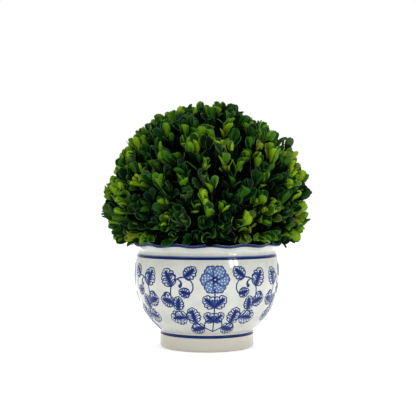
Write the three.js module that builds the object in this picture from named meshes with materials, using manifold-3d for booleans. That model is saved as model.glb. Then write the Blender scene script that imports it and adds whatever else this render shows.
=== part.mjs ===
// A clipped box ball sunk in a glazed ceramic pot. Millimetres, +Z up.
// The origin is the middle of the pot's flat foot, and -Y is the front.
// The pot holds a foam plug, the plug holds a short stem, the stem carries the boughs,
// and the boughs carry the crown, which is one mass because it is clipped.

import * as THREE from 'three';
import { mergeVertices } from 'three/addons/utils/BufferGeometryUtils.js';
import Module from 'manifold-3d';

const INCH = 25.4;
const DEGREE = Math.PI / 180;
const GAP = 0.3; // between pieces that touch

// Driving sizes
const OVERALL_HEIGHT = 9.5 * INCH;
const BALL_DIAMETER = 8 * INCH;
const POT_HEIGHT = 4 * INCH; // to the middle of the rim's wave

// The pot's belly is one arc of a circle whose centre stands a little off the axis
const BELLY_RADIUS = 71;
const BELLY_HEIGHT = 69.5;
const BELLY_ARC = 67.5;
const WALL = 4.5;
const NECK_HEIGHT = 93;

// The foot, under a painted groove
const FOOT_RADIUS = 45.8;
const FOOT_HEIGHT = 12.6;
const FOOT_EDGE = 3;
const GROOVE_DEPTH = 0.8;
const GROOVE_HEIGHT = 14.6;
const BELLY_START = 16.6;
const RECESS_RADIUS = 36;
const RECESS_DEPTH = 2.5;
const FLOOR_HEIGHT = 8;

// The flared rim, whose lip waves in and out and up and down
const RIM_RADIUS = 74;
const RIM_EDGE = 2.6;
const RIM_LOBES = 14;
const RIM_LOBE_TURN = 15.6 * DEGREE; // the direction of one lobe, from the front
const RIM_WAVE_OUT = 0.9;
const RIM_WAVE_DROP = 0.85;

// What stands inside
const FOAM_TOP = 76;
const FOAM_CLEARANCE = 1.4;
const STEM_FOOT = 42;
const STEM_TOP = 88;
const STEM_RADIUS = 7.5;
const STEM_TOP_RADIUS = 5.6;
const STEM_LEAN = 1.5;
const BOUGHS = 6;
const BOUGH_START = 76;
const BOUGH_STAGGER = 2.5;
const BOUGH_TOP = 101;
const BOUGH_REACH = 38;
const BOUGH_REACH_CHANGE = 5;
const BOUGH_RADIUS = 2.6;
const BOUGH_TOP_RADIUS = 1.8;

// The crown: a ball of close sprigs, flattened below where it lies over the rim
const CROWN_DETAIL = 9;
const SPRIG_HEADS = 150;
const HEAD_SPREAD = 0.17; // radians
const HEAD_HEIGHT = 6.5;
const UNDERSIDE_HEIGHT = 100;
const UNDERSIDE_SWAY = 3; // lower by this at the two sides, higher at the front and back
const UNDERSIDE_ROUNDING = 7;
const RIM_CLEARANCE = 1.2;
const MOUTH_CLEARANCE = 2;

// Facets
const POT_SIDES = RIM_LOBES * 4;
const FOAM_SIDES = POT_SIDES / 2;
const LIMB_SIDES = 10;
const LIMB_STEPS = 5;

const wasm = await Module();
wasm.setup();

// ---- Solids ----

function toSolid(geometry) {
  const bare = geometry.clone();
  bare.deleteAttribute('normal');
  bare.deleteAttribute('uv');
  const merged = mergeVertices(bare, 1e-3);
  const corners = [];
  for (let i = 0; i < merged.index.count; i += 3) {
    const [a, b, c] = merged.index.array.slice(i, i + 3);
    if (a !== b && b !== c && c !== a) {
      corners.push(a, b, c);
    }
  }
  return new wasm.Manifold(new wasm.Mesh({
    numProp: 3,
    vertProperties: Float32Array.from(merged.attributes.position.array),
    triVerts: Uint32Array.from(corners),
  }));
}

function toGeometry(solid) {
  const mesh = solid.getMesh();
  const geometry = new THREE.BufferGeometry();
  geometry.setAttribute('position', new THREE.BufferAttribute(mesh.vertProperties, 3));
  geometry.setIndex(new THREE.BufferAttribute(mesh.triVerts, 1));
  geometry.computeVertexNormals();
  return geometry;
}

// Turns a profile of (radius, height) about +Z. Its first column of points faces the front.
function turn(profile, sides) {
  return new THREE.LatheGeometry(profile, sides).rotateX(Math.PI / 2);
}

// Bends a tapered cylinder along a curve that lies in the plane square to `sideways`.
function limb(curve, sideways, startRadius, endRadius) {
  const geometry = new THREE.CylinderGeometry(endRadius, startRadius, 1, LIMB_SIDES, LIMB_STEPS);
  const position = geometry.attributes.position;
  for (let i = 0; i < position.count; i += 1) {
    const along = position.getY(i) + 0.5;
    const tangent = curve.getTangent(along);
    const upward = new THREE.Vector3().crossVectors(sideways, tangent);
    const point = curve.getPoint(along)
      .addScaledVector(sideways, position.getX(i))
      .addScaledVector(upward, position.getZ(i));
    position.setXYZ(i, point.x, point.y, point.z);
  }
  return geometry;
}

// ---- Pot ----

function bellyRadius(height, inset = 0) {
  const rise = height - BELLY_HEIGHT;
  return BELLY_RADIUS - BELLY_ARC + Math.sqrt((BELLY_ARC - inset) ** 2 - rise ** 2);
}

function bellyPoints(fromHeight, toHeight, inset, steps) {
  const angleAt = (height) => Math.asin((height - BELLY_HEIGHT) / (BELLY_ARC - inset));
  const points = [];
  for (let i = 0; i <= steps; i += 1) {
    const angle = THREE.MathUtils.lerp(angleAt(fromHeight), angleAt(toHeight), i / steps);
    const height = BELLY_HEIGHT + (BELLY_ARC - inset) * Math.sin(angle);
    points.push(new THREE.Vector2(bellyRadius(height, inset), height));
  }
  return points;
}

function footPoints() {
  const centre = FOOT_RADIUS - FOOT_EDGE;
  const corner = new THREE.ArcCurve(centre, FOOT_EDGE, FOOT_EDGE, -Math.PI / 2, 0, false);
  return [
    new THREE.Vector2(0, RECESS_DEPTH),
    new THREE.Vector2(RECESS_RADIUS, RECESS_DEPTH),
    new THREE.Vector2(RECESS_RADIUS + RECESS_DEPTH / 2, 0),
    ...corner.getPoints(3),
    new THREE.Vector2(FOOT_RADIUS, FOOT_HEIGHT),
    new THREE.Vector2(FOOT_RADIUS - GROOVE_DEPTH, GROOVE_HEIGHT),
  ];
}

function rimPoints() {
  const neck = bellyRadius(NECK_HEIGHT);
  const innerNeck = bellyRadius(NECK_HEIGHT, WALL);
  const flare = new THREE.QuadraticBezierCurve(
    new THREE.Vector2(neck + 0.1, NECK_HEIGHT + 0.8),
    new THREE.Vector2(neck + 1.4, POT_HEIGHT - 2 * RIM_EDGE),
    new THREE.Vector2(RIM_RADIUS - RIM_EDGE / 3, POT_HEIGHT - RIM_EDGE),
  );
  const round = RIM_EDGE / 2;
  const lip = new THREE.ArcCurve(RIM_RADIUS - round, POT_HEIGHT - round, round, -0.4, 2.2, false);
  const throat = new THREE.QuadraticBezierCurve(
    new THREE.Vector2(RIM_RADIUS - 1.6 * RIM_EDGE, POT_HEIGHT - 0.3 * RIM_EDGE),
    new THREE.Vector2(innerNeck + 1.5, POT_HEIGHT - 1.6 * RIM_EDGE),
    new THREE.Vector2(innerNeck, NECK_HEIGHT),
  );
  return [...flare.getPoints(4), ...lip.getPoints(4), ...throat.getPoints(3)];
}

// The lip's wave fades out at the neck.
function waveRim(geometry) {
  const position = geometry.attributes.position;
  for (let i = 0; i < position.count; i += 1) {
    const [x, y, z] = [position.getX(i), position.getY(i), position.getZ(i)];
    const share = THREE.MathUtils.smoothstep(z, NECK_HEIGHT, POT_HEIGHT);
    const wave = share * Math.cos(RIM_LOBES * (Math.atan2(x, -y) - RIM_LOBE_TURN));
    const radius = Math.hypot(x, y);
    const stretch = radius > 0 ? 1 + (RIM_WAVE_OUT * wave) / radius : 1;
    position.setXYZ(i, x * stretch, y * stretch, z - RIM_WAVE_DROP * wave);
  }
  return geometry;
}

function potGeometry() {
  const profile = [
    ...footPoints(),
    ...bellyPoints(BELLY_START, NECK_HEIGHT, 0, 8),
    ...rimPoints(),
    ...bellyPoints(NECK_HEIGHT - 3, FLOOR_HEIGHT, WALL, 7),
    new THREE.Vector2(0, FLOOR_HEIGHT),
  ];
  return waveRim(turn(profile, POT_SIDES));
}

// ---- Foam plug, stem and boughs ----

function stemCurve() {
  return new THREE.QuadraticBezierCurve3(
    new THREE.Vector3(0, -STEM_LEAN, STEM_FOOT),
    new THREE.Vector3(0, STEM_LEAN, (STEM_FOOT + STEM_TOP) / 2),
    new THREE.Vector3(0, 0, STEM_TOP),
  );
}

function stemGeometry(margin = 0) {
  const across = new THREE.Vector3(1, 0, 0);
  return limb(stemCurve(), across, STEM_RADIUS + margin, STEM_TOP_RADIUS + margin);
}

function boughGeometry(number, margin = 0) {
  const azimuth = (2 * Math.PI * number) / BOUGHS;
  const outward = new THREE.Vector3(Math.sin(azimuth), -Math.cos(azimuth), 0);
  const sideways = new THREE.Vector3(Math.cos(azimuth), Math.sin(azimuth), 0);
  const odd = number % 2;
  const start = BOUGH_START + odd * BOUGH_STAGGER;
  const reach = BOUGH_REACH - odd * BOUGH_REACH_CHANGE;
  const at = (distance, height) => outward.clone().multiplyScalar(distance).setZ(height);
  const curve = new THREE.QuadraticBezierCurve3(
    at(0, start),
    at(reach * 0.6, start + 5),
    at(reach, BOUGH_TOP + margin),
  );
  return limb(curve, sideways, BOUGH_RADIUS + margin, BOUGH_TOP_RADIUS + margin);
}

// A bough starts at the stem's bark.
function cutBoughGeometry(number) {
  const bough = toSolid(boughGeometry(number));
  return toGeometry(bough.subtract(toSolid(stemGeometry(GAP))));
}

function foamGeometry() {
  const inset = WALL + FOAM_CLEARANCE;
  const bottom = FLOOR_HEIGHT + FOAM_CLEARANCE;
  const profile = [
    new THREE.Vector2(0, bottom),
    ...bellyPoints(bottom, FOAM_TOP, inset, 7),
    new THREE.Vector2(0, FOAM_TOP),
  ];
  let foam = toSolid(turn(profile, FOAM_SIDES)).subtract(toSolid(stemGeometry(GAP)));
  for (let number = 0; number < BOUGHS; number += 1) {
    foam = foam.subtract(toSolid(boughGeometry(number, GAP)));
  }
  return toGeometry(foam);
}

// ---- Crown ----

// Directions spread evenly over a sphere by the golden angle
function evenDirections(count) {
  const goldenAngle = Math.PI * (3 - Math.sqrt(5));
  return Array.from({ length: count }, (_, i) => {
    const up = 1 - (2 * i + 1) / count;
    const out = Math.sqrt(1 - up * up);
    return new THREE.Vector3(out * Math.cos(goldenAngle * i), out * Math.sin(goldenAngle * i), up);
  });
}

// A ball that swells at the head of each sprig and sinks between them
function unevenBall() {
  const heads = evenDirections(SPRIG_HEADS);
  const geometry = new THREE.IcosahedronGeometry(1, CROWN_DETAIL);
  const position = geometry.attributes.position;
  for (let i = 0; i < position.count; i += 1) {
    const direction = new THREE.Vector3().fromBufferAttribute(position, i).normalize();
    const nearest = Math.min(...heads.map((head) => head.angleTo(direction)));
    const swelling = Math.exp(-((nearest / HEAD_SPREAD) ** 2));
    direction.multiplyScalar(BALL_DIAMETER / 2 - HEAD_HEIGHT * (1 - swelling));
    position.setXYZ(i, direction.x, direction.y, direction.z);
  }
  geometry.computeBoundingBox();
  const centre = geometry.boundingBox.getCenter(new THREE.Vector3());
  const size = geometry.boundingBox.getSize(new THREE.Vector3());
  geometry.translate(-centre.x, -centre.y, -centre.z);
  geometry.scale(BALL_DIAMETER / size.x, BALL_DIAMETER / size.y, BALL_DIAMETER / size.z);
  return geometry.translate(0, 0, OVERALL_HEIGHT - BALL_DIAMETER / 2);
}

function flattenUnderside(geometry) {
  const position = geometry.attributes.position;
  for (let i = 0; i < position.count; i += 1) {
    const [x, y, z] = [position.getX(i), position.getY(i), position.getZ(i)];
    const radius = Math.max(Math.hypot(x, y), RIM_RADIUS);
    const underside = UNDERSIDE_HEIGHT + (UNDERSIDE_SWAY * (y * y - x * x)) / (radius * radius);
    const rise = (z - underside) / UNDERSIDE_ROUNDING;
    position.setZ(i, underside + UNDERSIDE_ROUNDING * Math.log1p(Math.exp(rise)));
  }
  return geometry;
}

// The room that the pot's rim takes up under the crown
function rimRoom() {
  const inside = bellyRadius(NECK_HEIGHT, WALL) - MOUTH_CLEARANCE;
  const outside = RIM_RADIUS + RIM_WAVE_OUT + RIM_CLEARANCE;
  const top = POT_HEIGHT + RIM_WAVE_DROP + RIM_CLEARANCE;
  return turn([
    new THREE.Vector2(inside, NECK_HEIGHT),
    new THREE.Vector2(outside, NECK_HEIGHT),
    new THREE.Vector2(outside, top),
    new THREE.Vector2(inside, top),
    new THREE.Vector2(inside, NECK_HEIGHT),
  ], POT_SIDES);
}

function crownGeometry() {
  let crown = toSolid(flattenUnderside(unevenBall())).subtract(toSolid(rimRoom()));
  for (let number = 0; number < BOUGHS; number += 1) {
    crown = crown.subtract(toSolid(boughGeometry(number, GAP)));
  }
  return toGeometry(crown);
}

// ---- Assembly ----

function piece(name, geometry, color, roughness) {
  const material = new THREE.MeshStandardMaterial({ color, roughness, metalness: 0 });
  const mesh = new THREE.Mesh(geometry, material);
  mesh.name = name;
  return mesh;
}

const BARK = 0x6b5a3a;
const topiary = new THREE.Group();
topiary.add(piece('pot', potGeometry(), 0xd3d6cc, 0.12));
topiary.add(piece('foam_plug', foamGeometry(), 0x4a5a3a, 0.95));
topiary.add(piece('stem', stemGeometry(), BARK, 0.85));
for (let number = 0; number < BOUGHS; number += 1) {
  topiary.add(piece(`bough_${number + 1}`, cutBoughGeometry(number), BARK, 0.85));
}
topiary.add(piece('crown', crownGeometry(), 0x2c4f14, 0.6));

export default topiary;
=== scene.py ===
"""A clipped box ball in a blue and white glazed pot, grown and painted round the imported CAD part.

Lengths are in millimetres until a mesh is made. The front is -Y, and azimuths are measured from the
front towards +X.
"""

import math

import bpy
import numpy as np
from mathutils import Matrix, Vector, noise


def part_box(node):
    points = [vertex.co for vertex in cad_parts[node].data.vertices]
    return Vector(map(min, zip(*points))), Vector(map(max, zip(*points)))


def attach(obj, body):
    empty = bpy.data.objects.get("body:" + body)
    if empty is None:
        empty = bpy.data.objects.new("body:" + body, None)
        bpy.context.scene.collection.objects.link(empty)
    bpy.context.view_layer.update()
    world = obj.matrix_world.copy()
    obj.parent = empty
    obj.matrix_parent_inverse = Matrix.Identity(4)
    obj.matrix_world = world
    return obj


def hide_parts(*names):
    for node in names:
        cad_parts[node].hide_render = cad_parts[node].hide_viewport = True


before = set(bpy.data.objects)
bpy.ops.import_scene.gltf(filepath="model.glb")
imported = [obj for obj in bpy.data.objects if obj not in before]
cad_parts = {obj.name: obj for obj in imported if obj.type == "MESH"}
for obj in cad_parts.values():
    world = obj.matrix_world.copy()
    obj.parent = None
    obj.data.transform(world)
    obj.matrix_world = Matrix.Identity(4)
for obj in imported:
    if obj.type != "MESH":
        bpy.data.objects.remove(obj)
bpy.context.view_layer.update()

MM = 0.001
SEED = 20

# ---- Sizes, from the CAD part ----


def cad_size(node):
    """A node's lowest and highest corners in millimetres."""
    low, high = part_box(node)
    return np.array(low) / MM, np.array(high) / MM


CROWN_LOW, CROWN_HIGH = cad_size("crown")
BALL_RADIUS = (CROWN_HIGH[0] - CROWN_LOW[0]) / 2
BALL_CENTRE = np.array([0, 0, CROWN_HIGH[2] - BALL_RADIUS])

POT_TOP = cad_size("pot")[1][2]
RIM_WAVE_DROP = 0.85
RIM_WAVE_OUT = 0.9
RIM_HEIGHT = POT_TOP - RIM_WAVE_DROP
RIM_RADIUS = 74
RIM_EDGE = 2.6
RIM_LOBES = 14
RIM_LOBE_TURN = math.radians(15.6)
BELLY_RADIUS = 71
BELLY_HEIGHT = 69.5
BELLY_ARC = 67.5
WALL = 4.5
NECK_HEIGHT = 93
FOOT_RADIUS = 45.8
FOOT_HEIGHT = 12.4
FOOT_EDGE = 3
GROOVE_DEPTH = 0.8
GROOVE_HEIGHT = 14.6
BELLY_START = 16.6
RECESS_RADIUS = 36
RECESS_DEPTH = 2.5
FLOOR_HEIGHT = 8
FLOOR_RADIUS = 17
POT_SIDES = RIM_LOBES * 20

# ---- Curves and meshes ----


def arc(centre_r, centre_z, radius, start, end, steps):
    """Points on an arc between two angles in degrees."""
    angles = np.radians(np.linspace(start, end, steps + 1))
    return np.column_stack([centre_r + radius * np.cos(angles), centre_z + radius * np.sin(angles)])


def bezier(points, steps):
    """Points along a Bezier curve of any order."""
    points = np.array(points, float)
    order = len(points) - 1
    share = np.linspace(0, 1, steps + 1)[:, None]
    weights = [math.comb(order, k) * share**k * (1 - share) ** (order - k) for k in range(order + 1)]
    return sum(weight * point for weight, point in zip(weights, points))


def running_length(path):
    """The length along a path up to each of its points."""
    return np.concatenate([[0], np.cumsum(np.linalg.norm(np.diff(path, axis=0), axis=1))])


def unit(vectors):
    """The vectors, each scaled to a length of 1."""
    vectors = np.asarray(vectors, float)
    return vectors / np.linalg.norm(vectors, axis=-1, keepdims=True)


def smoothstep(value, low, high):
    """Rises smoothly from 0 at low to 1 at high."""
    share = np.clip((value - low) / (high - low), 0, 1)
    return share * share * (3 - 2 * share)


def add_piece(name, points, faces, materials, face_slots=None, replaces=()):
    """Makes a smooth mesh object from millimetres, riding on the one body."""
    mesh = bpy.data.meshes.new(name)
    points = np.asarray(points) * MM
    faces = faces.tolist() if isinstance(faces, np.ndarray) else faces
    mesh.from_pydata(points.tolist(), [], faces)
    for material in materials:
        mesh.materials.append(material)
    if face_slots is not None:
        mesh.polygons.foreach_set("material_index", np.asarray(face_slots, np.int32))
    mesh.shade_smooth()
    piece = bpy.data.objects.new(name, mesh)
    bpy.context.scene.collection.objects.link(piece)
    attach(piece, "root")
    if replaces:
        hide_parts(*replaces)
    return piece


def skin_faces(rows, sides):
    """Quads between loops of points, each loop of one length and above the last."""
    faces = []
    for row in range(rows - 1):
        here, above = row * sides, (row + 1) * sides
        for side in range(sides):
            following = (side + 1) % sides
            faces.append([here + side, here + following, above + following, above + side])
    return faces


class Solids:
    """Collects many small closed solids that are joined into one mesh."""

    def __init__(self):
        self.points = []
        self.faces = []
        self.count = 0

    def add(self, points, faces):
        self.points.append(np.asarray(points, float))
        self.faces.extend([[self.count + corner for corner in face] for face in faces])
        self.count += len(points)

    def add_loops(self, loops):
        """A closed skin over loops of points, all of one length, with a flat cap at each end."""
        loops = np.asarray(loops, float)
        rows, sides = loops.shape[:2]
        faces = skin_faces(rows, sides)
        faces.append(list(range(sides))[::-1])
        faces.append([(rows - 1) * sides + side for side in range(sides)])
        self.add(loops.reshape(-1, 3), faces)

    def make(self, name, materials, slot, replaces=()):
        return add_piece(name, np.vstack(self.points), self.faces, materials, replaces=replaces)


# ---- Materials ----


def new_material(name, color, roughness, specular=0.5):
    material = bpy.data.materials.new(name)
    material.use_nodes = True
    shader = material.node_tree.nodes["Principled BSDF"]
    shader.inputs["Base Color"].default_value = (*color, 1)
    shader.inputs["Roughness"].default_value = roughness
    shader.inputs["Specular IOR Level"].default_value = specular
    return material, material.node_tree, shader


def noise_node(tree, scale, detail=3.0, stretch=None):
    """Noise over the object's own coordinates, in metres."""
    place = tree.nodes.new("ShaderNodeTexCoord")
    source = place.outputs["Object"]
    if stretch:
        mapping = tree.nodes.new("ShaderNodeMapping")
        mapping.inputs["Scale"].default_value = stretch
        tree.links.new(source, mapping.inputs["Vector"])
        source = mapping.outputs["Vector"]
    texture = tree.nodes.new("ShaderNodeTexNoise")
    texture.inputs["Scale"].default_value = scale
    texture.inputs["Detail"].default_value = detail
    tree.links.new(source, texture.inputs["Vector"])
    return texture.outputs["Fac"]


def vary_roughness(tree, shader, source, low, high):
    spread = tree.nodes.new("ShaderNodeMapRange")
    spread.inputs["From Min"].default_value = 0.3
    spread.inputs["From Max"].default_value = 0.7
    spread.inputs["To Min"].default_value = low
    spread.inputs["To Max"].default_value = high
    tree.links.new(source, spread.inputs["Value"])
    tree.links.new(spread.outputs["Result"], shader.inputs["Roughness"])


def add_bump(tree, shader, source, distance, strength=1.0):
    bump = tree.nodes.new("ShaderNodeBump")
    bump.inputs["Distance"].default_value = distance
    bump.inputs["Strength"].default_value = strength
    tree.links.new(source, bump.inputs["Height"])
    tree.links.new(bump.outputs["Normal"], shader.inputs["Normal"])


def vary_color(tree, shader, source, stops):
    """Colours the surface by a ramp of (place, colour) stops."""
    ramp = tree.nodes.new("ShaderNodeValToRGB")
    elements = ramp.color_ramp.elements
    while len(elements) < len(stops):
        elements.new(0.5)
    for element, (place, color) in zip(elements, stops):
        element.position = place
        element.color = (*color, 1)
    tree.links.new(source, ramp.inputs["Fac"])
    tree.links.new(ramp.outputs["Color"], shader.inputs["Base Color"])
    return ramp


GLAZE = (0.475, 0.487, 0.437)
GLAZE_GREY = (0.415, 0.432, 0.395)
GLAZE_CREAM = (0.43, 0.413, 0.347)
CREAM_FROM, CREAM_BELOW = 22, 9


def glaze_material():
    """White glaze, faintly mottled and grained, creamier on the foot."""
    material, tree, shader = new_material("white_glaze", GLAZE, 0.15, 0.7)
    mottle = noise_node(tree, 110, 8)
    ramp = vary_color(tree, shader, mottle, [(0.32, GLAZE_GREY), (0.62, GLAZE)])
    place = tree.nodes.new("ShaderNodeTexCoord")
    axes = tree.nodes.new("ShaderNodeSeparateXYZ")
    height = tree.nodes.new("ShaderNodeMapRange")
    height.inputs["From Min"].default_value = CREAM_FROM * MM
    height.inputs["From Max"].default_value = CREAM_BELOW * MM
    mix = tree.nodes.new("ShaderNodeMix")
    mix.data_type = "RGBA"
    color_inputs = [socket for socket in mix.inputs if socket.type == "RGBA"]
    color_inputs[1].default_value = (*GLAZE_CREAM, 1)
    mixed = [socket for socket in mix.outputs if socket.type == "RGBA"][0]
    tree.links.new(place.outputs["Object"], axes.inputs["Vector"])
    tree.links.new(axes.outputs["Z"], height.inputs["Value"])
    tree.links.new(height.outputs["Result"], mix.inputs["Factor"])
    tree.links.new(ramp.outputs["Color"], color_inputs[0])
    tree.links.new(mixed, shader.inputs["Base Color"])
    vary_roughness(tree, shader, noise_node(tree, 160, 2), 0.04, 0.09)
    add_bump(tree, shader, noise_node(tree, 420, 3), 0.06 * MM, 0.5)
    return material


def paint_material(name, color):
    """A brush colour under the same glaze."""
    material, tree, shader = new_material(name, color, 0.15, 0.15)
    vary_roughness(tree, shader, noise_node(tree, 300, 3), 0.05, 0.12)
    add_bump(tree, shader, noise_node(tree, 420, 3), 0.06 * MM, 0.5)
    return material


def leaf_material(name, color, low, high, specular):
    """Waxy leaf skin with fine veining."""
    material, tree, shader = new_material(name, color, (low + high) / 2, specular)
    vary_roughness(tree, shader, noise_node(tree, 260, 3), low, high)
    add_bump(tree, shader, noise_node(tree, 900, 4), 0.25 * MM, 0.5)
    return material


def bark_material(name, dark, light, scale):
    material, tree, shader = new_material(name, dark, 0.85, 0.2)
    grain = noise_node(tree, scale, 6, (1, 1, 0.25))
    vary_color(tree, shader, grain, [(0.35, dark), (0.68, light)])
    vary_roughness(tree, shader, grain, 0.7, 0.95)
    add_bump(tree, shader, grain, 0.6 * MM)
    return material


def twig_material():
    """Young green-brown wood, one plain colour with a rough, ridged skin."""
    material, tree, shader = new_material("twig_bark", (0.075, 0.085, 0.028), 0.7, 0.25)
    ridges = noise_node(tree, 700, 4, (1, 1, 0.3))
    vary_roughness(tree, shader, ridges, 0.55, 0.85)
    add_bump(tree, shader, ridges, 0.3 * MM)
    return material


def moss_shade_material():
    # Near-black moss, as painted shade in the gaps between the sprays
    material, tree, shader = new_material("moss_painted_shade", (0.0015, 0.003, 0.001), 0.95, 0.05)
    tufts = noise_node(tree, 500, 6)
    vary_roughness(tree, shader, tufts, 0.85, 1.0)
    add_bump(tree, shader, tufts, 2 * MM)
    return material


def foam_material():
    material, tree, shader = new_material("dry_foam", (0.05, 0.09, 0.03), 0.95, 0.1)
    cells = noise_node(tree, 900, 4)
    vary_color(tree, shader, cells, [(0.3, (0.03, 0.06, 0.02)), (0.7, (0.08, 0.13, 0.05))])
    add_bump(tree, shader, cells, 0.5 * MM)
    return material


# ---- Camera, lights and floor ----

CAMERA_DISTANCE = 0.85
CAMERA_HEIGHT = 0.1345
CAMERA_SIDE = 0.001
CAMERA_LENS = 75.0
TENT_LIGHT = 1.0
FRONT_LIGHT = 0.88
TENT_EDGE, FRONT_EDGE = 0.1, 0.85
FLOOR_GLOW = 0.2
FLOOR_COLOR = (0.98, 0.98, 0.98)
FLOOR_SIZE = 40
# Azimuth, elevation, distance, width, height and power of each soft box
SOFTBOXES = {
    "top_light": (20, 78, 1.5, 0.6, 0.6, 7),
    "left_light": (-38, 52, 1.5, 0.6, 0.6, 3.6),
    "right_light": (55, 62, 1.5, 0.6, 0.6, 3.2),
    "back_light": (180, 45, 1.5, 1.0, 0.8, 6),
}
BALL_MIDDLE = (0, 0, 0.13)
WINDOW_AZIMUTH, WINDOW_ELEVATION, PANE_TURN = 44, 21.5, 4.4
WINDOW_DISTANCE, PANE_WIDTH, PANE_HEIGHT, PANE_POWER = 1.0, 0.1, 0.26, 0.95
WINDOW_TARGET = (0.026, -0.066, 0.086)


def make_camera():
    """A level camera straight in front, at the photograph's height."""
    data = bpy.data.cameras.new("camera")
    data.lens = CAMERA_LENS
    data.sensor_width = 36
    camera = bpy.data.objects.new("camera", data)
    camera.location = (CAMERA_SIDE, -CAMERA_DISTANCE, CAMERA_HEIGHT)
    camera.rotation_euler = (math.pi / 2, 0, 0)
    bpy.context.scene.collection.objects.link(camera)
    bpy.context.scene.camera = camera


def softbox(name, azimuth, elevation, distance, width, height, power, target=BALL_MIDDLE):
    """A rectangular light that faces the target, placed round it in degrees and metres."""
    a, e = math.radians(azimuth), math.radians(elevation)
    out = Vector((math.sin(a) * math.cos(e), -math.cos(a) * math.cos(e), math.sin(e)))
    data = bpy.data.lights.new(name, "AREA")
    data.shape = "RECTANGLE"
    data.size = width
    data.size_y = height
    data.energy = power
    light = bpy.data.objects.new(name, data)
    light.location = Vector(target) + out * distance
    light.rotation_euler = (-out).to_track_quat("-Z", "Y").to_euler()
    bpy.context.scene.collection.objects.link(light)


def make_world():
    """A white tent all round, open and dim at the front, where the camera stands."""
    world = bpy.data.worlds.new("studio")
    bpy.context.scene.world = world
    world.use_nodes = True
    tree = world.node_tree
    place = tree.nodes.new("ShaderNodeTexCoord")
    front = tree.nodes.new("ShaderNodeVectorMath")
    front.operation = "DOT_PRODUCT"
    front.inputs[1].default_value = (0, -1, 0.1)
    strength = tree.nodes.new("ShaderNodeMapRange")
    strength.interpolation_type = "SMOOTHSTEP"
    strength.inputs["From Min"].default_value = TENT_EDGE
    strength.inputs["From Max"].default_value = FRONT_EDGE
    strength.inputs["To Min"].default_value = TENT_LIGHT
    strength.inputs["To Max"].default_value = FRONT_LIGHT
    tree.links.new(place.outputs["Generated"], front.inputs[0])
    tree.links.new(front.outputs["Value"], strength.inputs["Value"])
    background = tree.nodes["Background"]
    background.inputs["Color"].default_value = (1, 1, 1, 1)
    tree.links.new(strength.outputs["Result"], background.inputs["Strength"])


def make_studio():
    """Soft boxes round the tent, and a two-pane window light to the front right."""
    make_world()
    for name, placing in SOFTBOXES.items():
        softbox(name, *placing)
    for side in (-1, 1):
        azimuth = WINDOW_AZIMUTH + side * PANE_TURN
        pane = (WINDOW_DISTANCE, PANE_WIDTH, PANE_HEIGHT, PANE_POWER, WINDOW_TARGET)
        softbox(f"window_{side + 2}", azimuth, WINDOW_ELEVATION, *pane)
    bpy.ops.mesh.primitive_plane_add(size=FLOOR_SIZE)
    floor = bpy.context.object
    floor.name = "floor"
    material, tree, shader = new_material("pale_floor", FLOOR_COLOR, 0.9, 0.1)
    shader.inputs["Emission Color"].default_value = (1, 1, 1, 1)
    shader.inputs["Emission Strength"].default_value = FLOOR_GLOW
    vary_roughness(tree, shader, noise_node(tree, 3, 2), 0.85, 0.95)
    floor.data.materials.append(material)
    bpy.context.scene.view_settings.view_transform = "Standard"


# ---- Pot ----


def belly_radius(height, inset=0):
    """The belly's radius at a height, or that of a skin inside it."""
    rise = height - BELLY_HEIGHT
    return BELLY_RADIUS - BELLY_ARC + np.sqrt((BELLY_ARC - inset) ** 2 - rise**2)


def belly_arc(start, end, inset, steps):
    """The belly's arc between two heights."""
    radius = BELLY_ARC - inset
    angles = [math.degrees(math.asin((height - BELLY_HEIGHT) / radius)) for height in (start, end)]
    return arc(BELLY_RADIUS - BELLY_ARC, BELLY_HEIGHT, radius, *angles, steps)


def outer_profile():
    """The pot's outside as (radius, height), from the standing ring up to the middle of the lip."""
    foot = FOOT_RADIUS - FOOT_EDGE
    groove = FOOT_RADIUS - GROOVE_DEPTH
    groove_top = (groove, GROOVE_HEIGHT)
    neck_start = NECK_HEIGHT - 1.5
    neck = belly_radius(neck_start)
    under_lip = RIM_HEIGHT - RIM_EDGE
    round_radius = RIM_EDGE / 2
    return np.vstack([
        arc(foot, FOOT_EDGE, FOOT_EDGE, -90, 0, 8),
        bezier([(FOOT_RADIUS, FOOT_HEIGHT - 4), (FOOT_RADIUS, FOOT_HEIGHT)], 2),
        bezier([(FOOT_RADIUS, FOOT_HEIGHT + 0.5), (groove + 0.3, FOOT_HEIGHT + 1), groove_top], 5),
        belly_arc(BELLY_START, neck_start, 0, 60),
        bezier([
            (neck - 0.2, neck_start + 0.6),
            (neck - 1.1, neck_start + 2.9),
            (neck + 1.1, under_lip - 1.4),
            (RIM_RADIUS - 0.9, under_lip),
        ], 12),
        arc(RIM_RADIUS - round_radius, RIM_HEIGHT - round_radius, round_radius, -35, 90, 10),
    ])


OUTSIDE = outer_profile()
ALONG = running_length(OUTSIDE)
BELLY_ALONG = float(np.interp(BELLY_HEIGHT, OUTSIDE[:, 1], ALONG))
SLOPE_REACH = 0.5


def wave_rim(radius, azimuth, height):
    """Adds the lip's wave, which fades out to the neck."""
    wave = smoothstep(height, NECK_HEIGHT, RIM_HEIGHT) * np.cos(RIM_LOBES * (azimuth - RIM_LOBE_TURN))
    return radius + RIM_WAVE_OUT * wave, height - RIM_WAVE_DROP * wave


def round_axis(radius, azimuth, height):
    """Points from cylinder coordinates."""
    radius, azimuth, height = np.broadcast_arrays(radius, azimuth, height)
    return np.stack([radius * np.sin(azimuth), -radius * np.cos(azimuth), height], axis=-1)


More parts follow.
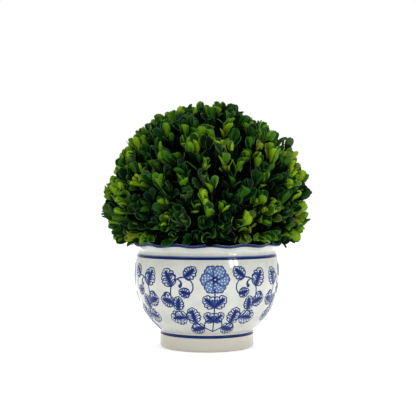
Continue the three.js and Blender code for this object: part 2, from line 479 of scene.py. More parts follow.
def on_glaze(azimuth, along, lift):
    """Points on the pot's outside, lifted off it along its normal."""
    azimuth, along, lift = np.broadcast_arrays(azimuth, along, lift)
    radius = np.interp(along, ALONG, OUTSIDE[:, 0])
    height = np.interp(along, ALONG, OUTSIDE[:, 1])
    before, after = along - SLOPE_REACH, along + SLOPE_REACH
    slope_r = np.interp(after, ALONG, OUTSIDE[:, 0]) - np.interp(before, ALONG, OUTSIDE[:, 0])
    slope_z = np.interp(after, ALONG, OUTSIDE[:, 1]) - np.interp(before, ALONG, OUTSIDE[:, 1])
    steep = np.hypot(slope_r, slope_z)
    radius = radius + lift * slope_z / steep
    height = height - lift * slope_r / steep
    radius, height = wave_rim(radius, azimuth, height)
    return round_axis(radius, azimuth, height)


def make_pot():
    """The glazed body, turned from one profile that starts and ends on the axis."""
    inner_neck = belly_radius(NECK_HEIGHT - 1, WALL)
    profile = np.vstack([
        [(RECESS_RADIUS * share, RECESS_DEPTH) for share in np.linspace(0.02, 0.97, 8)],
        bezier([
            (RECESS_RADIUS, RECESS_DEPTH),
            (RECESS_RADIUS + 0.6, RECESS_DEPTH),
            (RECESS_RADIUS + 1.2, 0.3),
        ], 4),
        [(RECESS_RADIUS + 1.7, 0), (RECESS_RADIUS + 4, 0)],
        OUTSIDE,
        arc(RIM_RADIUS - RIM_EDGE / 2, RIM_HEIGHT - RIM_EDGE / 2, RIM_EDGE / 2, 100, 135, 3),
        bezier([
            (RIM_RADIUS - 3.2, RIM_HEIGHT - 0.9),
            (inner_neck + 2.4, RIM_HEIGHT - 4.2),
            (inner_neck - 0.2, NECK_HEIGHT + 2.5),
            (inner_neck, NECK_HEIGHT - 1),
        ], 10),
        belly_arc(NECK_HEIGHT - 2, FLOOR_HEIGHT, WALL, 24),
        [(share * FLOOR_RADIUS, FLOOR_HEIGHT) for share in (0.9, 0.5, 0.04)],
    ])
    sides = POT_SIDES
    azimuth = np.arange(sides) * 2 * math.pi / sides
    radius, height = wave_rim(profile[:, :1], azimuth[None], profile[:, 1:])
    points = round_axis(radius, azimuth[None], height).reshape(-1, 3)
    rows = len(profile)
    faces = skin_faces(rows, sides)
    middles = [[0, 0, RECESS_DEPTH], [0, 0, FLOOR_HEIGHT]]
    points = np.vstack([points, middles])
    under, inside, last = rows * sides, rows * sides + 1, (rows - 1) * sides
    faces += [[under, (side + 1) % sides, side] for side in range(sides)]
    faces += [[inside, last + side, last + (side + 1) % sides] for side in range(sides)]
    pot = add_piece("pot_glaze", points, faces, [glaze_material()], replaces=["pot"])
    wrap_uv(pot, profile)


def wrap_uv(pot, profile):
    """A map that unrolls the pot: azimuth across, length along the profile upwards."""
    along = running_length(profile)
    along /= along[-1]
    mesh = pot.data
    sides = POT_SIDES
    rows = len(profile)
    layer = mesh.uv_layers.new(name="OFBake")
    for face in mesh.polygons:
        corners = list(face.vertices)
        turns = [corner % sides for corner in corners if corner < rows * sides]
        wraps = max(turns) - min(turns) > sides / 2
        for loop, corner in zip(face.loop_indices, corners):
            if corner >= rows * sides:
                turn = (turns[0] + turns[1]) / 2 + (sides / 2 if wraps else 0)
                level = 0.0 if corner == rows * sides else 1.0
            else:
                turn = corner % sides + (sides if wraps and corner % sides < sides / 2 else 0)
                level = along[corner // sides]
            layer.data[loop].uv = (turn / sides, level)


# ---- Painting on the pot ----
# A design point is (across, up) in millimetres from the middle of a panel at the belly's widest.
# Each colour has its own lift off the glaze, so that washes lie under outlines. A stroke's edges are
# buried in the glaze, and no face is much wider than the coarsest, so that it follows the belly.

PANELS = 4
PANEL_TURN = math.radians(6)
# Colour and lift of each paint
PAINTS = {
    "wash": ((0.078, 0.135, 0.285), 0.05),
    "blue": ((0.026, 0.066, 0.215), 0.065),
    "cobalt": ((0.005, 0.024, 0.130), 0.08),
    "ink": ((0.001, 0.004, 0.075), 0.10),
    "white": ((0.38, 0.43, 0.49), 0.12),
}
BURIED = -0.05
COARSEST = 2.5
# Paint, heights of its two edges and unevenness of each line round the body
BODY_RINGS = (
    ("wash", 88.8, 90.7, 0.12),
    ("ink", 87.4, 89.7, 0.12),
    ("cobalt", 13.0, 15.8, 0.1),
    ("ink", 13.4, 15.0, 0.1),
)
# Paint, lengths from the lip's top down to its two edges and unevenness of each line on the lip
LIP_RINGS = (
    ("wash", 4.5, 0.9, 0.3),
    ("cobalt", 4.6, 1.6, 0.4),
    ("ink", 4.2, 2.0, 0.5),
)

# Each panel is a mirrored scroll: a flower on a leafy stem, between two vines that wind inwards
SCROLL_FOOT = np.array([0, -55.0])
FLOWER_CENTRE = np.array([0, 0.5])
FLOWER_LOBES = 6
LOBE_RADIUS = 5.8
LOBE_REACH = 7.6
VINE_HEADING, VINE_LENGTH, VINE_TURN, VINE_TIGHTENING = 30, 112, 345, 3
VINE_STEPS = 60
# Place along the vine as a share, length, core's share of the width, and 1 for the outer side
VINE_LEAVES = (
    (0.1, 18, 0.5, 1), (0.2, 18, 0.34, 0), (0.3, 20, 0.3, 1), (0.4, 14, 0.5, 0),
    (0.47, 15, 0.5, 1), (0.62, 18, 0.36, 1), (0.76, 14, 0.45, 1), (0.95, 11, 0.5, 0),
)
# Place along the vine, length, and 1 for the outer side
VINE_TENDRILS = (
    (0.1, 13, 0), (0.2, 11, 1), (0.3, 10, 0), (0.38, 11, 1), (0.55, 9, 1), (0.69, 9, 1), (0.7, 9, 0),
)
# Height of its base on the stem, length, and core's share of the width
STEM_LEAVES = ((-42, 14, 0.36), (-26, 15, 0.45))
SPINE_STEPS = 48
LEAF_LEAN = 48
LEAF_WIDTH = 0.78
LEAF_BEND = 0.1
TENDRIL_WIDTH = 3.4
TENDRIL_TURN = 130


def winding(start, heading, length, turn, tightening, steps):
    """A path that turns faster and faster. Its angles are in degrees."""
    share = (np.arange(steps) + 0.5) / steps
    angles = math.radians(heading) + math.radians(turn) * share**tightening
    moves = np.column_stack([np.cos(angles), np.sin(angles)]) * length / steps
    return np.vstack([start, start + np.cumsum(moves, axis=0)])


def beside(point, degrees, length):
    """The point at a length from another, in a direction in degrees."""
    return point + length * np.array([math.cos(math.radians(degrees)), math.sin(math.radians(degrees))])


class Painting:
    """Brush strokes and dabs as thin closed solids, one set for each colour."""

    def __init__(self):
        self.sets = {paint: Solids() for paint in PAINTS}
        self.turn = 0.0

    def place(self, design, lift):
        """A design's points on the pot, for the panel that is being painted."""
        design = np.asarray(design)
        azimuth = self.turn + design[..., 0] / BELLY_RADIUS
        return on_glaze(azimuth, BELLY_ALONG + design[..., 1], lift)

    def stroke(self, paint, path, widths):
        """A stroke of the brush: a path, and its full width at even steps along it."""
        path = np.asarray(path, float)
        widths = np.interp(np.linspace(0, 1, len(path)), np.linspace(0, 1, len(widths)), widths)
        heading = unit(np.gradient(path, axis=0))
        side = np.stack([-heading[:, 1], heading[:, 0]], axis=1)
        inner = max(1, math.ceil(widths.max() / COARSEST))
        across = np.concatenate([[-1], np.linspace(-0.8, 0.8, inner + 1), [1]])
        top = PAINTS[paint][1]
        lifts = np.concatenate([[BURIED], np.full(inner + 1, top), [BURIED]])
        design = path[:, None] + side[:, None] * (across[None, :, None] * widths[:, None, None] / 2)
        self.sets[paint].add_loops(self.place(design, lifts[None])[:, ::-1])

    def dab(self, paint, centre, outline):
        """A filled shape that a centre point sees all of."""
        centre, outline = np.asarray(centre, float), np.asarray(outline, float)
        size = len(outline)
        reach = np.linalg.norm(outline - centre, axis=1).max()
        rings = max(1, math.ceil(reach / COARSEST))
        shares = [*np.linspace(0, 0.93, rings + 1)[1:], 1.0]
        top = PAINTS[paint][1]
        points = [self.place(centre, top)]
        for share in shares:
            lift = BURIED if share == 1.0 else top
            points.extend(self.place(centre + (outline - centre) * share, lift))
        points.append(self.place(centre, BURIED))
        faces = [[0, 1 + k, 1 + (k + 1) % size] for k in range(size)]
        for ring in range(len(shares) - 1):
            here, there = 1 + ring * size, 1 + (ring + 1) * size
            for k in range(size):
                following = (k + 1) % size
                faces.append([here + k, there + k, there + following, here + following])
        last = 1 + (len(shares) - 1) * size
        bottom = len(points) - 1
        faces += [[bottom, last + (k + 1) % size, last + k] for k in range(size)]
        self.sets[paint].add(np.array(points), faces)

    def dot(self, paint, centre, radius, sides=8):
        angles = np.arange(sides) * 2 * math.pi / sides
        circle = np.column_stack([np.cos(angles), np.sin(angles)])
        self.dab(paint, centre, np.asarray(centre) + radius * circle)

    def curl(self, paint, start, heading, length, turn, width):
        """A tendril that winds tighter and swells into a round bulb. Its angles are in degrees."""
        path = winding(start, heading, length, turn, 1.7, 14)
        self.stroke(paint, path, [max(width * share, 1.2) for share in (0.35, 0.4, 0.5, 0.75, 1)])
        self.dot(paint, path[-1], width * 0.56, 10)

    def leaf(self, base, tip, width, bend, teeth, core_share):
        """A scalloped outline round a feathered core. The core's width is a share of the leaf's."""
        along = tip - base
        length = np.linalg.norm(along)
        side = np.array([-along[1], along[0]]) / length
        spine = bezier([base, (base + tip) / 2 + side * bend * length, tip], SPINE_STEPS)
        heading = unit(np.gradient(spine, axis=0))
        normal = np.column_stack([-heading[:, 1], heading[:, 0]])
        share = np.linspace(0, 1, SPINE_STEPS + 1)
        half = width / 2 * np.sin(math.pi * share**0.8) ** 0.6

        def off_spine(place, reach):
            """A point beside the spine, by its share of the length and of the leaf's half width."""
            k = min(SPINE_STEPS, max(0, round(place * SPINE_STEPS)))
            return spine[k] + normal[k] * half[k] * reach

        for hand in (-1, 1):
            outline = [spine[0]]
            for tooth in range(teeth):
                for step, reach in ((0.03, 0.74), (0.2, 0.98), (0.45, 1.1), (0.75, 1.12), (0.96, 0.8)):
                    outline.append(off_spine(0.04 + 0.9 * (tooth + step) / teeth, hand * reach))
            outline.append(spine[-1])
            self.stroke("cobalt", outline, [1.1, 1.5, 1.3, 1.5, 1.0])
        places = np.linspace(0.03, 0.94, 14)
        left = [off_spine(place, core_share * math.sin(math.pi * place) ** 0.5) for place in places]
        right = [off_spine(place, -core_share * math.sin(math.pi * place) ** 0.5) for place in places[::-1]]
        self.dab("cobalt", spine[23], [*left, *right])
        self.stroke("ink", spine[::4][:-1], [1.0, 2.2, 2.0, 0.8])
        ribs = max(4, round(length / 3.1))
        for rib in range(ribs):
            place = 0.05 + 0.82 * rib / ribs
            swell = 0.6 + 0.4 * math.sin(math.pi * place) ** 0.6
            for reach in (0.82, -0.74):
                middle = off_spine(place + 0.05, reach * swell * 0.5)
                end = off_spine(place + 0.13, reach * swell)
                self.stroke("blue", [off_spine(place, 0), middle, end], [2.0, 1.9, 0.9])
                self.stroke("cobalt", [off_spine(place, 0), middle], [1.8, 0.6])

    def petal(self, centre, radius, heading, later):
        """A scalloped lobe of the flower, washed and dotted white, that tucks under the later lobes."""

        def shown(spot, margin):
            return all(np.linalg.norm(spot - other) > reach * margin for other, reach in later)

        bumps = 7
        steps = bumps * 5
        turned = math.radians(heading) + np.radians(np.linspace(-180, 180, steps + 1))
        reach = radius * (0.88 + 0.18 * np.abs(np.sin(np.linspace(0, math.pi * bumps, steps + 1))))
        edge = centre + reach[:, None] * np.column_stack([np.cos(turned), np.sin(turned)])
        self.dab("wash", centre, edge[:-1])
        run = []
        for spot in [*edge, None]:
            if spot is not None and shown(spot, 0.94):
                run.append(spot)
                continue
            if len(run) > 2:
                self.stroke("cobalt", run, [1.1])
            run = []
        for ring, count in ((0.28, 4), (0.7, 8)):
            for k in range(count):
                spot = beside(centre, heading + 360 * (k + 0.5) / count, radius * ring)
                if shown(spot, 1.1):
                    self.dot("white", spot, 0.78, 7)

    def flower(self, centre):
        """A rosette of scalloped lobes round a dark eye, with a ray on each lobe."""
        turns = [90 + 360 * (k + 0.5) / FLOWER_LOBES for k in range(FLOWER_LOBES)]
        lobes = [(beside(centre, turn, LOBE_REACH), LOBE_RADIUS) for turn in turns]
        for number, (middle, radius) in enumerate(lobes):
            self.petal(middle, radius, turns[number], lobes[number + 1:])
        for turn in turns:
            self.stroke("ink", [centre, beside(centre, turn, 4.6)], [1.6, 1.0])
        self.dot("ink", centre, 2.5, 12)
        self.dot("white", centre, 0.9, 7)

    def vine(self, hand):
        """A vine that winds inwards, with leaves and tendrils on both of its sides."""
        heading = 90 - hand * (90 - VINE_HEADING)
        path = winding(SCROLL_FOOT, heading, VINE_LENGTH, hand * VINE_TURN, VINE_TIGHTENING, VINE_STEPS)
        self.stroke("cobalt", path[::2], [1.7, 1.4, 1.5, 1.4])
        self.dot("cobalt", path[-1], TENDRIL_WIDTH * 0.6, 10)

        def place_on(share, outer):
            """A place on the vine, and the way a leaf leans off it there."""
            k = round(share * VINE_STEPS)
            ahead = path[k + 1] - path[k - 1]
            side = -hand if outer else hand
            return path[k], math.degrees(math.atan2(ahead[1], ahead[0])) + side * LEAF_LEAN, side

        for share, length, core_share, outer in VINE_LEAVES:
            base, lean, side = place_on(share, outer)
            tip = beside(base, lean, length)
            self.leaf(base, tip, length * LEAF_WIDTH, side * -LEAF_BEND, 4, core_share)
        for share, length, outer in VINE_TENDRILS:
            base, lean, side = place_on(share, outer)
            self.curl("cobalt", base, lean, length, side * TENDRIL_TURN, TENDRIL_WIDTH)

    def panel(self):
        """One scroll, the same on its left and right."""
        self.stroke("cobalt", np.linspace(SCROLL_FOOT, FLOWER_CENTRE, 20), [1.7, 1.4, 1.5])
        for hand in (-1, 1):
            self.vine(hand)
            for up, length, core_share in STEM_LEAVES:
                base = np.array([0, up])
                tip = beside(base, 90 - hand * LEAF_LEAN, length)
                self.leaf(base, tip, length * LEAF_WIDTH, hand * LEAF_BEND, 3, core_share)
        self.flower(FLOWER_CENTRE)

    def ring(self, paint, low, high, wobble):
        """A painted line all round between two heights along the profile, a little uneven."""
        sides = POT_SIDES
        azimuth = np.arange(sides + 1) * 2 * math.pi / sides
        rows = max(2, math.ceil((high - low) / 0.6))
        drift = [sum(math.sin(turn * n + n * n) for n in (3, 7, 11)) * wobble / 3 for turn in azimuth]
        shares = np.concatenate([[0, 0.04], np.linspace(0.04, 0.96, rows)[1:], [1]])
        lifts = np.full(len(shares), PAINTS[paint][1])
        lifts[[0, -1]] = BURIED
        along = low + (high - low) * shares[None] + np.array(drift)[:, None] * (0.4 + 0.6 * shares[None])
        loops = on_glaze(azimuth[:, None], along, lifts[None])[:-1]
        count, size = loops.shape[:2]
        faces = []
        for row in range(count):
            following = (row + 1) % count
            for k in range(size):
                over = (k + 1) % size
                here, there = row * size, following * size
                faces.append([here + k, there + k, there + over, here + over])
        self.sets[paint].add(loops.reshape(-1, 3), faces)


def along_at(height):
    """The length along the outside at a height below the lip."""
    return float(np.interp(height, OUTSIDE[:, 1], ALONG))


def paint_pot():
    """The scrolls and the lines round the pot, one piece for each colour."""
    painting = Painting()
    for number in range(PANELS):
        painting.turn = PANEL_TURN + number * 2 * math.pi / PANELS
        painting.panel()
    for paint, low, high, wobble in BODY_RINGS:
        painting.ring(paint, along_at(low), along_at(high), wobble)
    for paint, low, high, wobble in LIP_RINGS:
        painting.ring(paint, ALONG[-1] - low, ALONG[-1] - high, wobble)
    for paint, (color, _) in PAINTS.items():
        material = paint_material(f"{paint}_paint", color)
        painting.sets[paint].make(f"paint_{paint}", [material], "blue_paint")


# ---- Stem, boughs and branches ----

STEM_FOOT, STEM_TOP, STEM_LEAN = 42, 88, 1.5
STEM_RADIUS, STEM_TOP_RADIUS = 7.3, 5.4
BOUGHS = 6
BOUGH_START, BOUGH_STAGGER, BOUGH_TOP = 76, 2.5, 101
BOUGH_REACH, BOUGH_REACH_CHANGE = 38, 5
BOUGH_RADIUS, BOUGH_TOP_RADIUS = 2.5, 1.75
TWIG_RADIUS = 0.42
BARK_RELIEF = 0.12


def tube_loops(path, radii, sides, relief=0.0):
    """Rings of points round a path. Relief roughens them into ridges of bark."""
    path = np.asarray(path, float)
    heading = unit(np.gradient(path, axis=0))
    helper = np.array([0, 0, 1.0]) if abs(heading[0][2]) < 0.9 else np.array([1.0, 0, 0])
    across = unit(np.cross(heading, helper))
    upward = np.cross(across, heading)
    angles = np.arange(sides) * 2 * math.pi / sides
    cosines, sines = np.cos(angles)[None, :, None], np.sin(angles)[None, :, None]
    rings = across[:, None] * cosines + upward[:, None] * sines
    radii = np.interp(np.linspace(0, 1, len(path)), np.linspace(0, 1, len(radii)), radii)
    reach = np.repeat(radii[:, None], sides, axis=1)
    if relief:
        for row, point in enumerate(path):
            for side in range(sides):
                spot = Vector((math.cos(angles[side]) * 2.2, math.sin(angles[side]) * 2.2, row * 0.16))
                reach[row, side] *= 1 + relief * noise.fractal(spot + Vector(point) * 0.02, 1, 2, 3)
    return (path[:, None] + rings * reach[..., None])[:, ::-1]


def bough_path(number, steps=24):
    """A bough's middle line, out of the stem and up to the crown, as in the CAD part."""
    azimuth = 2 * math.pi * number / BOUGHS
    outward = np.array([math.sin(azimuth), -math.cos(azimuth), 0])
    up = np.array([0, 0, 1.0])
    odd = number % 2
    start = BOUGH_START + odd * BOUGH_STAGGER
    reach = BOUGH_REACH - odd * BOUGH_REACH_CHANGE
    return bezier([
        outward * 3 + up * (start + 0.6),
        outward * reach * 0.6 + up * (start + 5),
        outward * reach + up * BOUGH_TOP,
    ], steps)


def make_limbs():
    """The short stem and the boughs, with the bark's relief."""
    bark = bark_material("old_bark", (0.05, 0.036, 0.022), (0.17, 0.13, 0.085), 220)
    stem = Solids()
    middle = (STEM_FOOT + STEM_TOP) / 2
    path = bezier([(0, -STEM_LEAN, STEM_FOOT), (0, STEM_LEAN, middle), (0, 0, STEM_TOP)], 60)
    stem.add_loops(tube_loops(path, [STEM_RADIUS, STEM_TOP_RADIUS], 40, BARK_RELIEF))
    stem.make("stem_bark", [bark], "bark", ["stem"])
    for number in range(BOUGHS):
        bough = Solids()
        radii = [BOUGH_RADIUS, BOUGH_TOP_RADIUS]
        bough.add_loops(tube_loops(bough_path(number, 40), radii, 24, BARK_RELIEF))
        bough.make(f"bough_bark_{number + 1}", [bark], "bark", [f"bough_{number + 1}"])


def grow_branch(wood, start, heading, ends, rng):
    """Branches on from a limb by halving: it runs part of the way to the middle of the ends that it
    has to reach, and forks across their widest spread. Each fork grows on in the same way."""
    radius = min(BOUGH_TOP_RADIUS, TWIG_RADIUS * len(ends) ** 0.3)
    if len(ends) == 1:
        middle = start + heading * np.linalg.norm(ends[0] - start) * 0.4
        wood.add_loops(tube_loops(bezier([start, middle, ends[0]], 4), [radius * 1.1, TWIG_RADIUS], 5))
        return
    centre = ends.mean(axis=0)
    fork = start + (centre - start) * rng.uniform(0.34, 0.5) + rng.normal(0, 1.2, 3)
    middle = start + heading * np.linalg.norm(fork - start) * 0.5
    path = bezier([start, middle, fork], 4)
    wood.add_loops(tube_loops(path, [radius * 1.12, radius], 6))
    spread = ends - centre
    widest = np.linalg.svd(spread, full_matrices=False)[2][0]
    order = np.argsort(spread @ widest)
    cut = int(np.clip(round(len(ends) * rng.uniform(0.38, 0.62)), 1, len(ends) - 1))
    onward = unit(path[-1] - path[-2])
    for side in (order[:cut], order[cut:]):
        grow_branch(wood, fork, unit(onward + unit(ends[side].mean(axis=0) - fork)), ends[side], rng)


# ---- Sprays of leaves ----

SPRAYS_ON_BALL = 620
SPRAY_FOCUS = np.array([0, 0, 109.0])
SPRAY_LENGTH = 26
LOWEST_SPRAY = 101
LOWER_EDGE = 101
LOWER_EDGE_DROOP = 5.5
THROAT_RADIUS, THROAT_DEPTH = 60, 8
PAIR_PLACES = (0, 4.0, 8.4, 13.2, 18.4)
PAIR_LENGTHS = (13.0, 16.0, 17.0, 16.0, 13.5)
PAIR_SPREADS = (9, 16, 24, 33, 42)
PAINTED_SHADE_PAIR = 2.6
LOST_LEAVES = 0.1
FEWEST_LEAVES = 6
SHIFTED_LEAVES = 0.28
BARE_STEMS = 0.02
DIRECTION_JITTER, HEADING_JITTER = 0.022, 0.22
UNEVENNESS = 3.0
INSETS = (2, 8)
RISE, RISE_FROM, RISE_FULL = 0.42, 112, 150
SPRAY_SIZES = (0.84, 1.16)
LEAF_SIZES = (0.86, 1.12)
LEAF_RATIOS = (0.46, 0.6)
MOSS_DEPTH = 33
MOSS_SIDES = 72
# The drifts of tint, and how far lower and right-hand sprays lean to the later, lighter tints:
# painted shade darkens the top, and painted light brightens the right-hand side
TINT_DRIFT, TOP_PAINTED_SHADE, RIGHT_PAINTED_LIGHT = 0.5, 0.15, 0.14

# One tint is dealt to each spray: leaf top, underside, and its share of the ball. The inner tint is
# near-black painted shade. It has no share, as it goes to the lower, shaded pairs of every spray.
TINTS = {
    "deep": ((0.0006, 0.0092, 0.0014), (0.007, 0.040, 0.003), 0.27),
    "dark": ((0.0014, 0.0205, 0.0022), (0.021, 0.086, 0.004), 0.25),
    "mid": ((0.0085, 0.045, 0.0030), (0.075, 0.170, 0.004), 0.22),
    # Grey-green leaves: partly dust, and partly a painted sheen
    "dusty": ((0.0140, 0.036, 0.0090), (0.036, 0.072, 0.017), 0.06),
    "fresh": ((0.0400, 0.115, 0.0050), (0.150, 0.270, 0.006), 0.16),
    "olive": ((0.0500, 0.088, 0.0060), (0.125, 0.172, 0.008), 0.04),
    # Painted shade: near-black leaves for the lower pairs deep in each spray
    "inner": ((0.0006, 0.0035, 0.0005), (0.0015, 0.007, 0.0008), 0.0),
}
# Lightens every leaf's edges, as a painted highlight along the margins
MARGIN_HIGHLIGHT = (0.020, 0.044, 0.018)
# The tint that some of a spray's leaves take in place of its own
NEXT_TINT = {
    "deep": "dark", "dark": "mid", "mid": "fresh", "dusty": "dark", "fresh": "mid", "olive": "fresh",
}


def even_directions(count):
    """Directions spread evenly over a sphere by the golden angle."""
    index = np.arange(count)
    up = 1 - (2 * index + 1) / count
    out = np.sqrt(1 - up**2)
    turn = index * math.pi * (3 - math.sqrt(5))
    return np.column_stack([out * np.cos(turn), out * np.sin(turn), up])


def slow_noise(points, scale, offset):
    return np.array([noise.noise(Vector(point) * scale + Vector((offset, 0, 0))) for point in points])


def near_rim(points, margin):
    """Which points touch the pot's lip or throat, or hang below the crown's lower edge."""
    radius = np.hypot(points[..., 0], points[..., 1])
    height = points[..., 2]
    over_lip = (radius > THROAT_RADIUS) & (radius < RIM_RADIUS + RIM_WAVE_OUT + 1)
    lip = over_lip & (height < POT_TOP + 0.8)
    sideways = (points[..., 0] / np.maximum(radius, 1)) ** 2
    below = (radius > THROAT_RADIUS) & (height < LOWER_EDGE - LOWER_EDGE_DROOP * sideways + margin)
    return lip | below | (height < POT_TOP - THROAT_DEPTH)


def spray_layout(rng):
    """Where each spray's top pair of leaves starts, and the way it points."""
    jitter = rng.normal(0, DIRECTION_JITTER, (SPRAYS_ON_BALL, 3))
    directions = unit(even_directions(SPRAYS_ON_BALL) + jitter)
    inset = rng.uniform(*INSETS, len(directions)) - slow_noise(directions, 2.6, 5) * UNEVENNESS
    ends = BALL_CENTRE + directions * (BALL_RADIUS - inset)[:, None]
    ends = ends[ends[:, 2] > LOWEST_SPRAY]
    rise = np.outer(RISE * smoothstep(ends[:, 2], RISE_FROM, RISE_FULL), [0, 0, 1])
    headings = unit(unit(ends - SPRAY_FOCUS) + rise + rng.normal(0, HEADING_JITTER, ends.shape))
    for _ in range(4):
        tips = ends - headings * PAIR_LENGTHS[0]
        shoots = tips[:, None] - headings[:, None] * np.linspace(-0.2, 1, 10)[None, :, None] * SPRAY_LENGTH
        low = near_rim(shoots, 1).any(axis=1)
        ends[low, 2] += 1.2
        headings[low] = unit(headings[low] * (1, 1, 0.6) + (0, 0, 0.02))
    tips = ends - headings * PAIR_LENGTHS[0]
    return tips[~low], headings[~low]


def leaf_template():
    """Half-widths by length for one leaf, obovate with a blunt tip, and its faces as quads."""
    along = np.array([0, 0.15, 0.36, 0.6, 0.8, 0.93, 1.0])
    half = np.array([0.09, 0.36, 0.76, 1.0, 0.95, 0.68, 0.26]) / 2
    faces, slots = [], []
    for row in range(len(along) - 1):
        here, there = row * 6, row * 6 + 6
        for k in range(4):
            faces.append([here + k, there + k, there + k + 1, here + k + 1])
            slots.append(1 if k in (0, 3) else 0)
        faces += [[here, here + 5, there + 5, there], [here + 5, here + 4, there + 4, there + 5]]
        slots += [2, 2]
    last = (len(along) - 1) * 6
    faces += [[0, 1, 2, 5], [5, 2, 3, 4]]
    faces += [[last + 5, last + 2, last + 1, last], [last + 4, last + 3, last + 2, last + 5]]
    slots += [2, 2, 1, 1]
    return along, half, np.array(faces), np.array(slots)


def leaf_points(leaves):
    """All leaves' vertices: rows along each leaf, and across it two edges, two inner points, the midrib
    above and the midrib below."""
    along, half, _, _ = leaf_template()
    across = np.array([-1, -0.84, 0, 0.84, 1, 0])
    ratio, cup, bend = (leaves[key][:, None, None] for key in ("ratio", "cup", "bend"))
    x = np.broadcast_to(along[None, :, None], (len(leaves["ratio"]), len(along), 6)).copy()
    x[:, -1, [2, 5]] -= 0.035
    y = ratio * half[None, :, None] * across[None, None]
    z = cup * np.abs(across)[None, None] ** 1.7 * ratio * half[None, :, None] * 2
    z = z + bend * (x**2 - 0.15)
    thickness = np.array([0.012, 0, 0, 0, 0.012, 0.045])
    z = z - thickness[None, None]
    frame_x, frame_y, frame_z = (leaves[key][:, None, None] for key in ("x", "y", "z"))
    local = x[..., None] * frame_x + y[..., None] * frame_y + z[..., None] * frame_z
    points = leaves["origin"][:, None, None] + local * leaves["length"][:, None, None, None]
    return points.reshape(len(points), -1, 3)


def spray_leaves(tips, headings, rng):
    """Opposite pairs of leaves down each spray, each pair turned a quarter from the last."""
    sprays = len(tips)
    size = rng.uniform(*SPRAY_SIZES, sprays)
    first_turn = rng.uniform(0, math.pi, sprays)
    helper = np.where(np.abs(headings[:, 2:]) < 0.9, [[0, 0, 1.0]], [[1.0, 0, 0]])
    side = unit(np.cross(headings, helper))
    other = np.cross(headings, side)
    rows = {key: [] for key in ("origin", "x", "y", "z", "length", "ratio", "cup", "bend", "spray", "pair")}
    for pair, (place, length, spread) in enumerate(zip(PAIR_PLACES, PAIR_LENGTHS, PAIR_SPREADS)):
        for hand in (0, 1):
            turn = first_turn + pair * math.pi / 2 + hand * math.pi + rng.normal(0, 0.18, sprays)
            out = side * np.cos(turn)[:, None] + other * np.sin(turn)[:, None]
            open_angle = np.radians(spread + rng.normal(0, 11, sprays))[:, None]
            x = headings * np.cos(open_angle) + out * np.sin(open_angle)
            z = headings * np.sin(open_angle) - out * np.cos(open_angle)
            y = np.cross(z, x)
            roll = rng.normal(0, 0.4, sprays)[:, None]
            y, z = y * np.cos(roll) + z * np.sin(roll), z * np.cos(roll) - y * np.sin(roll)
            rows["origin"].append(tips - headings * (place * size)[:, None] + out * 0.3)
            rows["x"].append(x)
            rows["y"].append(y)
            rows["z"].append(z)
            rows["length"].append(length * size * rng.uniform(*LEAF_SIZES, sprays))
            rows["ratio"].append(rng.uniform(*LEAF_RATIOS, sprays))
            rows["cup"].append(rng.normal(0.11, 0.1, sprays))
            rows["bend"].append(rng.normal(-0.03, 0.13, sprays))
            rows["spray"].append(np.arange(sprays))
            rows["pair"].append(np.full(sprays, pair))
    return {key: np.concatenate(value) for key, value in rows.items()}


def lift_leaves(leaves, low):
    """Bends some leaves upwards about their bases."""
    x = unit(leaves["x"][low] + (0, 0, 0.16))
    y = unit(np.cross(leaves["z"][low], x))
    leaves["x"][low] = x
    leaves["y"][low] = y
    leaves["z"][low] = np.cross(x, y)


def deal_tints(tips, rng):
    """A tint for each spray, in loose drifts, with painted shade on the top and painted light on the right.
    """
    names = list(TINTS)
    shares = np.cumsum([TINTS[name][2] for name in names])
    drift = slow_noise(tips, 0.035, 11) * TINT_DRIFT
    # Painted shade and light: higher sprays draw darker tints, lower and right-hand ones lighter
    low = np.clip((BALL_CENTRE[2] - tips[:, 2]) / BALL_RADIUS, -1, 1) * TOP_PAINTED_SHADE
    side = RIGHT_PAINTED_LIGHT * tips[:, 0] / BALL_RADIUS
    draw = np.clip(rng.uniform(0, 1, len(tips)) + drift + low + side, 0, 0.999)
    return np.array([names[k] for k in np.searchsorted(shares / shares[-1], draw)])


def make_crown():
    """The leaves, joined by tint, with their stems, branches and the near-black moss core of painted shade.
    """
    rng = np.random.default_rng(SEED)
    tips, headings = spray_layout(rng)
    leaves = spray_leaves(tips, headings, rng)
    margin = rng.normal(0, 1, (len(leaves["spray"]), 1))
    for _ in range(6):
        points = leaf_points(leaves)
        low = near_rim(points, margin).any(axis=1)
        lift_leaves(leaves, low)
    points = leaf_points(leaves)
    keep = ~near_rim(points, margin).any(axis=1)
    keep &= rng.uniform(0, 1, len(points)) > LOST_LEAVES
    full = np.bincount(leaves["spray"], weights=keep) >= FEWEST_LEAVES
    keep &= full[leaves["spray"]]
    tints = deal_tints(tips, rng)[leaves["spray"]]
    shifted = rng.uniform(0, 1, len(tints)) < SHIFTED_LEAVES
    tints = np.where(shifted, [NEXT_TINT[tint] for tint in tints], tints)
    # The lower pairs of each spray take the near-black inner tint, as painted shade
    painted_shade_leaves = leaves["pair"] + rng.uniform(0, 1, len(tints)) >= PAINTED_SHADE_PAIR
    tints = np.where(painted_shade_leaves, "inner", tints)
    _, _, faces, slots = leaf_template()
    corners = points.shape[1]
    for tint, (top, underside, _) in TINTS.items():
        chosen = points[keep & (tints == tint)]
        # The edges are the top's colour made lighter: a painted highlight
        margin_highlight = np.array(top) * 2 if tint == "inner" else np.array(top) * 1.8 + MARGIN_HIGHLIGHT
        materials = [
            leaf_material(f"{tint}_leaf", top, 0.33, 0.5, 0.02 if tint == "inner" else 0.08),
            leaf_material(f"{tint}_margin", margin_highlight, 0.45, 0.6, 0.05),
            leaf_material(f"{tint}_underside", underside, 0.5, 0.65, 0.04),
        ]
        all_faces = (faces[None] + np.arange(len(chosen))[:, None, None] * corners).reshape(-1, 4)
        face_slots = np.tile(slots, len(chosen))
        all_points = chosen.reshape(-1, 3)
        add_piece(f"leaves_{tint}", all_points, all_faces, materials, face_slots, ["crown"])
    make_spray_stems(tips[full], headings[full], rng)
    make_branches((tips - headings * SPRAY_LENGTH)[full], rng)
    make_moss_shade_core()


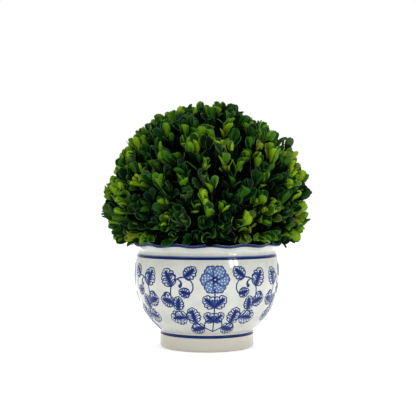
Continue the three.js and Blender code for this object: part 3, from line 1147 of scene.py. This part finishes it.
def make_spray_stems(tips, headings, rng):
    """A thin stem up the middle of each spray, a few of them bare and long past the leaves."""
    stems = Solids()
    bare = rng.uniform(0, 1, len(tips)) < BARE_STEMS
    for tip, heading, long in zip(tips, headings, bare):
        end = tip + heading * (11 if long else 2)
        base = tip - heading * SPRAY_LENGTH
        middle = (base + end) / 2 + rng.normal(0, 0.5, 3)
        stems.add_loops(tube_loops(bezier([base, middle, end], 5), [TWIG_RADIUS, 0.3, 0.16], 5))
    stems.make("spray_stems", [twig_material()], "bark", ["crown"])


def make_branches(ends, rng):
    """Shares the sprays' feet out to the boughs by direction, and grows each bough on to its own."""
    wood = Solids()
    azimuth = np.arctan2(ends[:, 0], -ends[:, 1]) % (2 * math.pi)
    nearest = np.round(azimuth / (2 * math.pi / BOUGHS)).astype(int) % BOUGHS
    for number in range(BOUGHS):
        path = bough_path(number)
        grow_branch(wood, path[-1], unit(path[-1] - path[-2]), ends[nearest == number], rng)
    wood.make("branches", [twig_material()], "bark", ["crown"])


def make_moss_shade_core():
    """The inside of the ball: a moss core coloured near-black as painted shade, which shows only as
    dark between the sprays. It fills the pot's mouth and widens over the rim."""
    radius = BALL_RADIUS - MOSS_DEPTH
    over_rim = math.degrees(math.asin((POT_TOP + 16 - BALL_CENTRE[2]) / radius))
    profile = np.vstack([
        [(share * 55, POT_TOP - 4.5) for share in (0.3, 0.6, 0.9, 1)],
        [(60, POT_TOP - 3), (61.5, POT_TOP), (63, POT_TOP + 3), (64.5, POT_TOP + 8)],
        arc(0, BALL_CENTRE[2], radius, over_rim, 86, 24),
    ])
    azimuth = np.arange(MOSS_SIDES) * 2 * math.pi / MOSS_SIDES
    rings = round_axis(profile[:, :1], azimuth[None], profile[:, 1:])
    spots = rings.reshape(-1, 3)
    swell = slow_noise(spots, 0.09, 0) * 0.05 + slow_noise(spots, 0.25, 3) * 0.03
    swell = swell.reshape(rings.shape[:2]) * smoothstep(profile[:, 1:], POT_TOP, POT_TOP + 12)
    rings[..., :2] *= (1 + swell)[..., None]
    moss = Solids()
    moss.add_loops(rings)
    moss.make("moss_painted_shade", [moss_shade_material()], "leaves", ["crown"])


make_camera()
make_studio()
make_pot()
paint_pot()
make_limbs()
make_crown()
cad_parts["foam_plug"].material_slots[0].material = foam_material()
